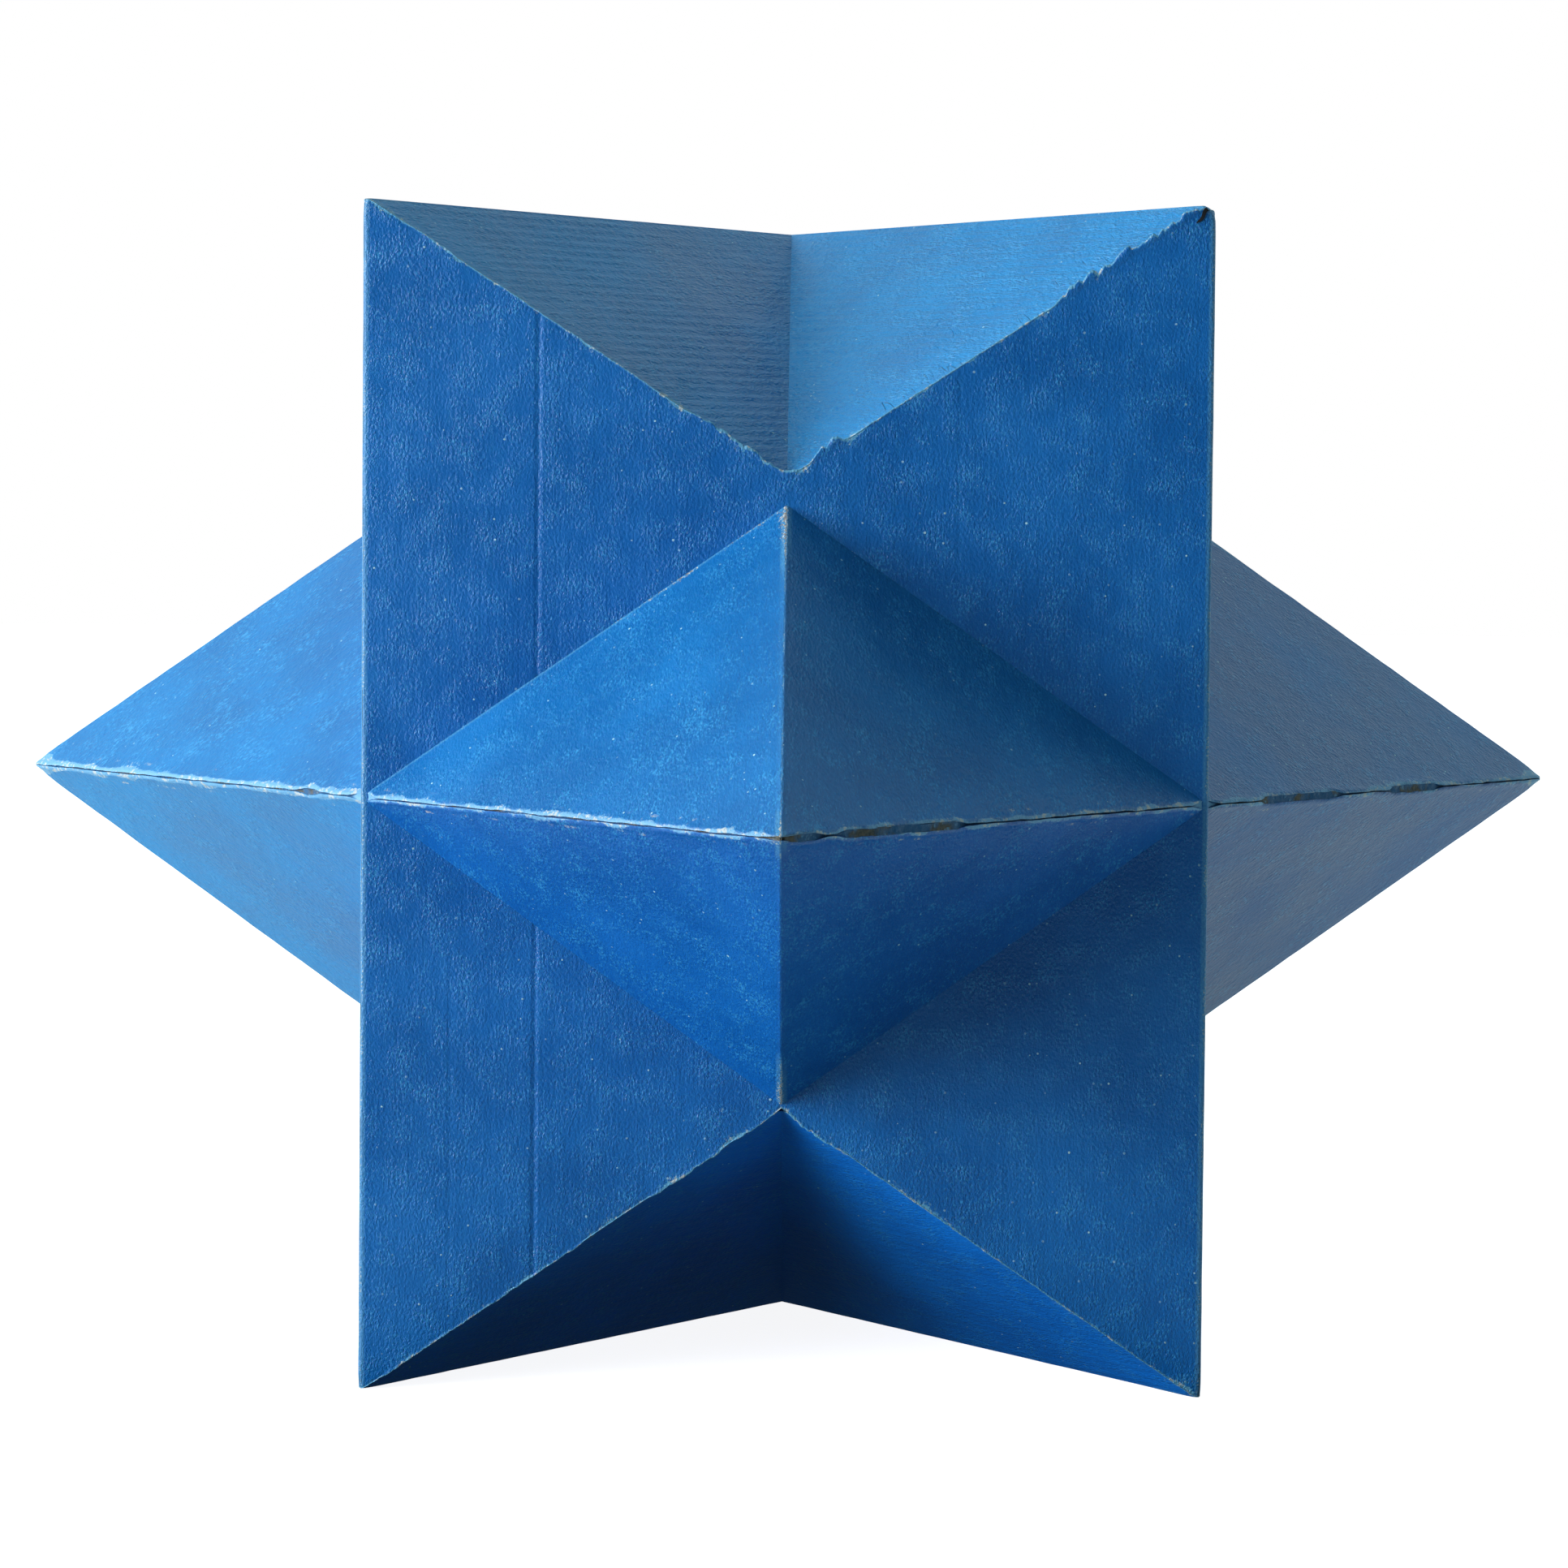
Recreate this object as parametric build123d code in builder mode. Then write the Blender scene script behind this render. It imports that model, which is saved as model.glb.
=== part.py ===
"""Hollow stellated star folded from fluted card: a square belt, eight folded ridges and four points.

The solid is a cube-like star with twelve tips. Seen from above, the belt is a square tube
turned with its faces to the front, back and sides. Eight of the tips are the belt's corners,
top and bottom. The other four are the points, one standing out of each face of the belt.
All sizes are in millimetres, +Z is up, and the origin is where the lower ridges cross,
on the surface that the star stands on.
"""

import os
from math import asin, atan, cos, radians, sin, sqrt, tan

from build123d import *

os.makedirs("parts", exist_ok=True)

# Driving dimensions
half_height = 150.0  # from the star's centre to its upper ridges, before they are creased
board = 1.6  # thickness of the fluted card
crease_flat = 1.2  # width of the flat that creasing leaves along a fold
upper_notch = 80.5  # from the centre up to the lowest point of an upper notch
upper_apex = 74.0  # from the centre up to where a point's upper ridge meets the belt
lower_apex = 76.4  # from the centre down to where its lower ridge meets the belt
lower_notch = 77.0  # from the centre down to the highest point of a lower notch
tab_width = 16.0  # glue tabs of the folded pieces
tab_gap = 0.3  # clearance of a tab from its mirror image
tab_inset = 1.5  # how far a tab's fold lies under the facet's outer surface
equator_gap = 2.0  # clearance of a point's tabs from the equator
flap_width = 14.0  # the belt's own glue flap
seam_width = 0.4  # groove where the belt's free edge meets its flap
seam_depth = 1.2
seam_fill = 0.75  # share of the equator groove's depth that glue fills
bead_bulge = 1.2  # how far a valley bead stands out on the inside
bead_set_back = 4.0  # distance of a valley bead's end from the hub where the ridges meet
bead_recess = 0.3  # distance of a valley bead from the outer surface

# Sizes that follow from them
half_width = half_height / sqrt(2)  # from the axis to the belt's outer faces
reach = 2 * half_width  # from the axis to the tip of a point
inner = half_width - board  # from the axis to the belt's inner faces
crease_depth = crease_flat / 2  # a right-angled fold loses half the width of its flat
middle = half_height - crease_depth  # height of the star's centre above the surface
equator = Plane.XY.offset(middle)
diagonal = Plane(origin=(0, 0, 0), z_dir=(1, 1, 0))  # runs along the front right ridge
fore_and_aft = Plane.YZ  # the plane of symmetry of the front point

quarters = ("front", "right", "back", "left")
corners = ("front_right", "back_right", "back_left", "front_left")


def save(builder, name):
    """Label a finished piece and write it to its own file."""
    builder.part.label = name
    export_step(builder.part, f"parts/{name}.step")


def facet_plane(first, second, third):
    """The plane of three corners listed anticlockwise as seen from outside."""
    along = second - first
    return Plane(origin=first, x_dir=along, z_dir=along.cross(third - first))


def outline(plane, *points):
    """A closed straight-sided face on a plane, from points in the plane's own coordinates."""
    with BuildSketch(plane) as face:
        with BuildLine():
            Polyline(*points, close=True)
        make_face()
    return face.sketch


def flat_outline(plane, *points):
    """The same from points in space that lie on the plane."""
    local = [plane.to_local_coords(point) for point in points]
    return outline(plane, *[(point.X, point.Y) for point in local])


# Belt: one strip folded round four sides, with a V notch in each side's top and bottom edge
front_face = Plane.XZ.offset(half_width)  # the front panel's outer face

with BuildPart() as belt:
    with BuildSketch(equator.offset(-middle)):
        Rectangle(2 * half_width, 2 * half_width)
        Rectangle(2 * inner, 2 * inner, mode=Mode.SUBTRACT)
    extrude(amount=2 * middle)
    chamfer(
        belt.edges().filter_by(Axis.Z).group_by(SortBy.DISTANCE)[-1],
        length=crease_flat / sqrt(2),
    )
    # The flap is the end of the back panel, folded in behind the left panel.
    flap_height = upper_notch
    with Locations((-inner + board / 2, inner - flap_width / 2, middle)):
        Box(board, flap_width, 2 * flap_height)
    with Locations((-inner, half_width - seam_depth / 2, middle)):
        Box(seam_width, seam_depth, 2 * half_height, mode=Mode.SUBTRACT)
    for quarter in range(4):
        for side, notch in ((1, upper_notch), (-1, lower_notch)):
            brim = middle + side * half_height
            bottom = middle + side * notch
            front = outline(front_face, (-half_width, brim), (half_width, brim), (0, bottom))
            extrude(front.rotate(Axis.Z, 90 * quarter), amount=-board, mode=Mode.SUBTRACT)

save(belt, "belt")


def folded_ridge(notch):
    """One upper ridge: two facets folded along the ridge, with a glue tab behind each belt edge.

    It is the front right one, whose facets close the front and the right notch.
    """
    hub = Vector(0, 0, middle + half_height)
    corner = Vector(half_width, -half_width, middle + half_height)
    notch_tip = Vector(0, -half_width, middle + notch)
    rise = (half_height - notch) / half_width  # slope of a notch's edge
    drop = tab_width / cos(atan(rise))  # height of the tab, measured straight down

    def edge_height(x):
        """Height of the facet's outer surface where it meets the front panel's inner face."""
        return middle + notch + rise * (x + board)

    inner_face = Plane.XZ.offset(inner)
    tab_end = inner - tab_width
    corner_end = inner - 2 * board
    tab_fold = board / 2  # the tab's fold lies this far under the facet's surface
    with BuildPart() as ridge:
        extrude(
            flat_outline(facet_plane(hub, notch_tip, corner), hub, notch_tip, corner),
            amount=-board,
        )
        extrude(
            outline(
                inner_face,
                (tab_gap, edge_height(tab_gap) - tab_fold),
                (tab_gap, edge_height(tab_gap) - drop),
                (tab_end, edge_height(tab_end) - drop),
                (corner_end, edge_height(corner_end) - tab_fold),
            ),
            amount=-board,
        )
        with Locations((inner / 2, -inner / 2, middle + half_height / 2)):
            Box(inner, inner, 2 * half_height, mode=Mode.INTERSECT)
        split(bisect_by=diagonal, keep=Keep.BOTTOM)
        mirror(about=diagonal)
        split(bisect_by=equator.offset(middle), keep=Keep.BOTTOM)
    return ridge


for level, notch in (("top", upper_notch), ("bottom", lower_notch)):
    master = folded_ridge(notch)
    for quarter, corner in enumerate(corners):
        with BuildPart() as ridge:
            add(master.part, rotation=(0, 0, 90 * quarter))
            if level == "bottom":
                mirror(about=equator, mode=Mode.REPLACE)
        save(ridge, f"{level}_ridge_{corner}")


def facet_lean(apex):
    """Angle of a point's facet to the level, measured across its level edge."""
    return atan(apex / (half_height / 2))


def folded_point(apex):
    """The upper half of the front point: two facets folded along its ridge, with glue tabs.

    apex is the height above the centre at which the ridge meets the belt. The lower edges
    are cut back so that the two halves' inner edges touch and leave a groove between them.
    """
    tip = Vector(0, -reach, middle)
    side = Vector(half_width, -half_width, middle)
    summit = Vector(0, -half_width, middle + apex)
    surface = facet_plane(tip, side, summit)
    lean = facet_lean(apex)
    facet_depth = surface.to_local_coords(summit).Y
    cut_back = board / tan(lean) / facet_depth
    fall = apex / half_width
    drop = tab_width / cos(atan(fall))
    ridge_out = Vector(0, -apex, reach - half_width).normalized()
    ridge_depth = crease_flat / 2 * tan(radians(30))

    def base_height(x):
        """Height of the facet's outer surface where it meets the belt."""
        return middle + apex - fall * x

    floor = middle + equator_gap
    lower_end = (middle + apex - drop - floor) / fall
    upper_end = (middle + apex - tab_inset - floor) / fall
    with BuildPart() as half:
        extrude(
            flat_outline(
                surface,
                tip + (summit - tip) * cut_back,
                side + (summit - side) * cut_back,
                summit,
            ),
            amount=-board,
        )
        split(bisect_by=front_face, keep=Keep.TOP)
        extrude(
            outline(
                front_face,
                (tab_gap, base_height(tab_gap) - tab_inset),
                (tab_gap, base_height(tab_gap) - drop),
                (lower_end, floor),
                (upper_end, floor),
            ),
            amount=board,
        )
        split(bisect_by=fore_and_aft, keep=Keep.TOP)
        mirror(about=fore_and_aft)
        split(
            bisect_by=Plane(origin=tip - ridge_out * ridge_depth, z_dir=ridge_out),
            keep=Keep.BOTTOM,
        )
    return half


for level, apex in (("upper", upper_apex), ("lower", lower_apex)):
    master = folded_point(apex)
    for quarter, name in enumerate(quarters):
        with BuildPart() as half:
            add(master.part, rotation=(0, 0, 90 * quarter))
            if level == "lower":
                mirror(about=equator, mode=Mode.REPLACE)
        save(half, f"{name}_point_{level}")

# Seam glue: fills the groove between the halves of a point, along both edges and round the tip
groove_root = board / sin(max(facet_lean(upper_apex), facet_lean(lower_apex)))
fill_edge = seam_fill * board / sqrt(2) - groove_root  # outer side, from the sharp edge
edge_length = half_width * sqrt(2)
overrun = 10.0
edge_way = Vector(1, 1, 0).normalized()
groove_section = Plane(
    origin=Vector(0, -reach, middle) - edge_way * overrun,
    x_dir=(1, -1, 0),
    z_dir=edge_way,
)


def groove_wall(apex):
    """Distance from the level at which the glue's outer side meets the board of one half."""
    lean = facet_lean(apex)
    return (fill_edge + board / sin(lean)) / tan(lean)


with BuildPart() as front_seam:
    extrude(
        outline(
            groove_section,
            (-groove_root, 0),
            (fill_edge, -groove_wall(upper_apex)),
            (fill_edge, groove_wall(lower_apex)),
        ),
        amount=edge_length + 2 * overrun,
    )
    split(bisect_by=fore_and_aft, keep=Keep.TOP)
    split(bisect_by=front_face, keep=Keep.TOP)
    mirror(about=fore_and_aft)

for quarter, name in enumerate(quarters):
    with BuildPart() as seam:
        add(front_seam.part, rotation=(0, 0, 90 * quarter))
    save(seam, f"{name}_seam_glue")


def valley_bead(notch):
    """Glue along the inside of the upper front valley, between two neighbouring ridges."""
    hub = Vector(0, 0, middle + half_height)
    fall = half_height - notch
    way = Vector(0, -half_width, -fall).normalized()
    length = (inner - 2 * board) / half_width * sqrt(half_width**2 + fall**2)
    spread = asin(fall / sqrt(2 * fall**2 + half_width**2))  # half the wedge between the boards
    inward = board * cos(spread)
    section = Plane(origin=hub + way * bead_set_back, x_dir=(1, 0, 0), z_dir=way)
    half_root = bead_recess * tan(spread)
    half_rim = inward * tan(spread)
    with BuildPart() as bead:
        with BuildSketch(section):
            with BuildLine():
                Polyline(
                    (-half_rim, -inward),
                    (-half_root, -bead_recess),
                    (half_root, -bead_recess),
                    (half_rim, -inward),
                )
                ThreePointArc((half_rim, -inward), (0, -inward - bead_bulge), (-half_rim, -inward))
            make_face()
        extrude(amount=length - bead_set_back)
    return bead


for level, notch in (("top", upper_notch), ("bottom", lower_notch)):
    master = valley_bead(notch)
    for quarter, name in enumerate(quarters):
        with BuildPart() as bead:
            add(master.part, rotation=(0, 0, 90 * quarter))
            if level == "bottom":
                mirror(about=equator, mode=Mode.REPLACE)
        save(bead, f"{level}_{name}_valley_glue")
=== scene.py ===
"""Hollow stellated star of painted fluted card: the visual model around the CAD frame.

Every sheet of card is built again as a fine mesh, closed to the board's thickness: flute ribs that
show through the paper, rounded folds, cut edges with torn and worn paper, and glue in the seams.
Lengths are in metres.
"""

from math import acos, ceil, cos, exp, floor, pi, radians, sin, sqrt, tan

import bmesh
import bpy
from mathutils import Matrix, Vector, noise


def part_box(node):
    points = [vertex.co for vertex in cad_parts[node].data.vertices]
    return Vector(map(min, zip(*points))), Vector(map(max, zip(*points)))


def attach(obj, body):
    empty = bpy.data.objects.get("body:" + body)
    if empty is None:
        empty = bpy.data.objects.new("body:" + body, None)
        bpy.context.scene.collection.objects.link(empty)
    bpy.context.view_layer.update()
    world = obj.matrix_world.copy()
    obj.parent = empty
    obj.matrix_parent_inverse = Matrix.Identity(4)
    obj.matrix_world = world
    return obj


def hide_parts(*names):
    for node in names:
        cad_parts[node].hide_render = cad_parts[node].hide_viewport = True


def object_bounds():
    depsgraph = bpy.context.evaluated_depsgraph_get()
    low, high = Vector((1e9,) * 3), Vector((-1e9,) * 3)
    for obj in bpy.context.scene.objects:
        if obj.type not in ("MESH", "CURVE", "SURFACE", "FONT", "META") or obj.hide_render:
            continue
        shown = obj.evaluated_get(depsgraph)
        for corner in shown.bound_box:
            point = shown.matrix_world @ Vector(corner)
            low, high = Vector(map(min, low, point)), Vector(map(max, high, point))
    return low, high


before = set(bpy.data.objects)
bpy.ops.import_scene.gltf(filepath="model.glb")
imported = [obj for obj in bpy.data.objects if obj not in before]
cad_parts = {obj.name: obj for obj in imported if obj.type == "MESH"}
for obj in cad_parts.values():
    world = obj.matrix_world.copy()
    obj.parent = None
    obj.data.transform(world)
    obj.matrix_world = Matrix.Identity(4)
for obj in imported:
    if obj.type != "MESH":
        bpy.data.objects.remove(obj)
cad_low, cad_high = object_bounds()

# Driving dimensions
MM = 0.001
BOARD = 1.6 * MM  # thickness of the fluted card
FLUTE = 3.25 * MM  # pitch of its flutes
RIB_STEPS = 4  # mesh rows for each flute of a folded sheet
BELT_RIB_STEPS = 6
SHEET_COLUMNS = 34  # mesh columns along a folded sheet, besides the close ones at both ends
BELT_ROWS = 36  # mesh rows up a panel of the belt, besides the close ones at both ends
FOLD_STEPS = 4  # mesh rows over half of a fold's rounding
RIDGE_RIBS = {"top": 0.29 * MM, "bottom": 0.09 * MM}  # how far the paper sinks between two flutes
BELT_RIBS = 0.025 * MM
POINT_RIBS = 0.02 * MM
FOLD_RADIUS = 1.0 * MM
FOLD_LOSS = 0.42 * MM  # height that creasing takes off a point's ridge where it meets the belt
RIB_PATCH = 34 * MM  # size of the patches in which the ribs are stronger or fainter
RIB_FADE = 2 * MM  # ribs and crushed folds fade out this close to an edge
WAVE_HEIGHT = 0.22 * MM  # slow unevenness of a sheet
WAVE_LENGTH = 48 * MM
WAVE_FADE = 12 * MM  # the unevenness fades out this close to an edge or a fold
CRUSH_WIDTH = 2.5  # in mm: the paper beside a fold is crushed this far from it
CRUSH_DEPTH = 0.12 * MM
BELT_CRUSH_DEPTH = 0.1 * MM
BELT_WEAR = 0.35  # how bare the belt's folds are, and how strong the painted highlight on them
EDGE_DROP = 0.22 * MM  # how far the paper turns down at a cut edge
EDGE_ROUND = 0.9 * MM  # width of that turned-down strip
SEAM_RAG = 0.3 * MM  # unevenness of the paper along the points' seams
SEAM_CURL = 0.2 * MM  # height of the curled-up paper along them
COVER = 0.85 * BOARD  # how far a ridge's paper and paint reach over the cut edge of the belt
TAB_WIDTH = 16 * MM
TAB_GAP = 0.3 * MM  # clearance of a tab from its mirror image
FLAP_WIDTH = 14 * MM
LOBE = 4.6 * MM  # usual length of one lobe of a torn edge
TEAR_RAG = 0.18 * MM  # raggedness of a notch edge that is not torn
LEAST_TEAR = 0.1 * MM  # the paper stands at least this far past the edge
FAR = 99.0  # a distance mark, in mm, on what is not near any fold or edge
INSIDE = -4.0  # a lip mark on the belt's inner face, well behind its raw edge

# Sizes taken from the frame
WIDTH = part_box("belt")[1].x  # from the axis to the belt's outer faces
INNER = WIDTH - BOARD
HALF = WIDTH * sqrt(2)  # from the centre to the corner tips, before creasing
REACH = 2 * WIDTH  # from the axis to the tips of the points
MIDDLE = (cad_low.z + cad_high.z) / 2
UPPER_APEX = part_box("front_point_upper")[1].z - MIDDLE + FOLD_LOSS
LOWER_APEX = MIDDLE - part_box("front_point_lower")[0].z + FOLD_LOSS
QUARTERS = ("front", "right", "back", "left")
CORNERS = ("front_right", "back_right", "back_left", "front_left")


def notch_heights():
    """Distance from the centre to the bottom of an upper notch, and to the top of a lower one."""
    near = 0.01 * MM
    heights = [
        vertex.co.z
        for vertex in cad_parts["belt"].data.vertices
        if abs(vertex.co.x) < near and vertex.co.y < near - WIDTH
    ]
    return max(heights) - MIDDLE, MIDDLE - min(heights)


UPPER_NOTCH, LOWER_NOTCH = notch_heights()


# Small tools

def lumps(place, size, seed=0.0):
    """Smooth noise between about -1 and 1, with lumps of the given size."""
    return noise.noise(place / size + Vector((seed, 1.7 * seed, 2.3 * seed)))


def clamp(value, low=0.0, high=1.0):
    return max(low, min(high, value))


def meet(*planes):
    """The point where three planes meet. A plane is (a point on it, its normal)."""
    rows = Matrix([normal for _, normal in planes])
    return rows.inverted() @ Vector([place.dot(normal) for place, normal in planes])


def stations(length, count, steps=(0.0, 0.35, 0.9, 1.8, 3.2, 5.5)):
    """Distances along a row: close together near both ends, and count more between."""
    scale = MM * min(1.0, length / (4 * steps[-1] * MM))
    near = [step * scale for step in steps]
    far = [length - step for step in reversed(near)]
    gap = (far[0] - near[-1]) / (count + 1)
    return near + [near[-1] + gap * (k + 1) for k in range(count)] + far


def ribs(distance, place, seed, depth):
    """How far the paper sinks at a distance across the flutes. The ribs fade in places."""
    strength = clamp(0.75 + 0.9 * lumps(place, RIB_PATCH, seed))
    return depth * strength * (0.5 - 0.5 * cos(2 * pi * distance / FLUTE))


MARKS = ("fold", "seam", "lip", "wear")


class Shell:
    """The mesh of one piece while it is put together, with its distance marks in mm.

    sheet holds a place on the flat sheet: along the flutes, across them, and a number for the sheet.
    """

    def __init__(self):
        self.points = []
        self.faces = []
        self.sheet = []
        self.marks = {name: [] for name in MARKS}

    def point(self, place, sheet=None, fold=FAR, seam=FAR, lip=FAR, wear=0.0):
        self.points.append(place)
        self.sheet.extend(sheet or place)
        for name, value in zip(MARKS, (fold, seam, lip, wear)):
            self.marks[name].append(value)
        return len(self.points) - 1

    def patch(self, rows):
        """Quads between neighbouring rows of points."""
        for low, high in zip(rows, rows[1:]):
            for corner in range(len(low) - 1):
                self.faces.append((low[corner], low[corner + 1], high[corner + 1], high[corner]))

    def prism(self, outline, depth):
        """A closed flat plate: an outline and the vector through its thickness."""
        near = [self.point(place) for place in outline]
        far = [self.point(place + depth) for place in outline]
        self.faces.append(tuple(near))
        self.faces.append(tuple(reversed(far)))
        count = len(outline)
        for k in range(count):
            after = (k + 1) % count
            self.faces.append((near[k], far[k], far[after], near[after]))

    def piece(self, name, material, slot, replaced, turn=0, flip=False, sharp=40):
        """Make the object, turned by quarter turns and mirrored about the equator."""
        spin = Matrix.Rotation(radians(90 * turn), 4, "Z")
        if flip:
            spin = Matrix.Translation((0, 0, 2 * MIDDLE)) @ Matrix.Diagonal((1, 1, -1, 1)) @ spin
        mesh = bpy.data.meshes.new(name)
        mesh.from_pydata([soften(spin @ place) for place in self.points], [], self.faces)
        for key, values in self.marks.items():
            mesh.attributes.new(key, "FLOAT", "POINT").data.foreach_set("value", values)
        mesh.attributes.new("sheet", "FLOAT_VECTOR", "POINT").data.foreach_set("vector", self.sheet)
        form = bmesh.new()
        form.from_mesh(mesh)
        bmesh.ops.remove_doubles(form, verts=form.verts, dist=0.002 * MM)
        bmesh.ops.dissolve_degenerate(form, edges=form.edges, dist=0.001 * MM)
        bmesh.ops.recalc_face_normals(form, faces=form.faces)
        form.to_mesh(mesh)
        form.free()
        mesh.shade_smooth()
        mesh.set_sharp_from_angle(angle=radians(sharp))
        mesh.materials.append(material)
        piece = bpy.data.objects.new(name, mesh)
        bpy.context.collection.objects.link(piece)
        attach(piece, "root")
        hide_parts(replaced)
        return piece


# Wear of the tips: each is pressed in a little, and one corner is blunt from a knock

CORNER_TIPS = [
    Vector((side * WIDTH, depth * WIDTH, MIDDLE + level * HALF))
    for level in (1, -1)
    for side in (1, -1)
    for depth in (1, -1)
]
POINT_TIPS = [Vector((0, -REACH, MIDDLE)), Vector((0, REACH, MIDDLE))]
POINT_TIPS += [Vector((REACH, 0, MIDDLE)), Vector((-REACH, 0, MIDDLE))]
KNOCKED_TIP = Vector((WIDTH, -WIDTH, MIDDLE + HALF))
TIP_WEAR = [(tip, 5 * MM, 0.7 * MM) for tip in CORNER_TIPS if tip != KNOCKED_TIP]
TIP_WEAR += [(tip, 3.5 * MM, 0.3 * MM) for tip in POINT_TIPS]
TIP_WEAR += [(KNOCKED_TIP, 6.0 * MM, 2.6 * MM)]
PINCH = 8 * MM  # within this distance of a point's tip, its two halves are pressed together
PINCH_SHARE = 0.9  # at the tip itself, this much of their height is gone


def soften(place):
    """Press the surface in near a worn tip, and keep it inside the frame's own box."""
    for tip, size, depth in TIP_WEAR:
        share = clamp(1 - (place - tip).length / size)
        if share > 0:
            inward = (Vector((0, 0, MIDDLE)) - tip).normalized()
            place = place + inward * depth * share * share
    for tip in POINT_TIPS:
        share = clamp(1 - (place - tip).length / PINCH)
        if share > 0:
            height = (place.z - MIDDLE) * (1 - PINCH_SHARE * share * share)
            place = Vector((place.x, place.y, MIDDLE + height))
    return Vector([clamp(value, low, high) for value, low, high in zip(place, cad_low, cad_high)])


# Folded sheets: the ridges over the belt's ends and the halves of the points

OPEN_FADE = 0.032  # an open run's ends fade over this share of the edge
CLOSED_RUNS = ((0.0, 0.0),)
LEAST_WEAR = 0.15  # a fold's wear away from its two ends, as a share of the wear at the end
END_WEAR = 26 * MM  # the fold is barest up to about this distance from its end
START_WEAR = 9 * MM  # and a little less bare up to about this distance from its start
TIP_WEAR_REACH = 14 * MM  # the edge's wear widens within this distance of the sheet's start
BASE_BAND = 3 * MM  # the wear along the edge at the belt stays within this strip
BASE_SHIFT = 0.75 * MM  # it looks like a fold's wear this far from the fold


class Wing:
    """One facet of a folded sheet: its far corner, outside and inside, and what its edges are.

    overhang is how far its paper reaches past the cut at the start edge, but not in the open runs.
    rubbed shifts the wear of that edge, in mm, and tip_rub widens it near the sheet's start.
    wear says how bare the fold is, and base_wear how bare the edge at the belt. Both also set how
    strong the painted highlight is along them.
    """

    def __init__(self, far, inner_far, start_mark, end_mark):
        self.far = far
        self.inner_far = inner_far
        self.start_mark = start_mark
        self.end_mark = end_mark
        self.overhang = 0.0
        self.open_runs = CLOSED_RUNS
        self.rubbed = 0.0
        self.tip_rub = 0.0
        self.wear = 0.25
        self.base_wear = 0.0

    def openness(self, share):
        """0 where the paper covers the start edge's groove, and 1 where the groove lies open."""
        inside = max(clamp(min(share - low, high - share) / OPEN_FADE) for low, high in self.open_runs)
        return inside * inside * (3 - 2 * inside)


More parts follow.
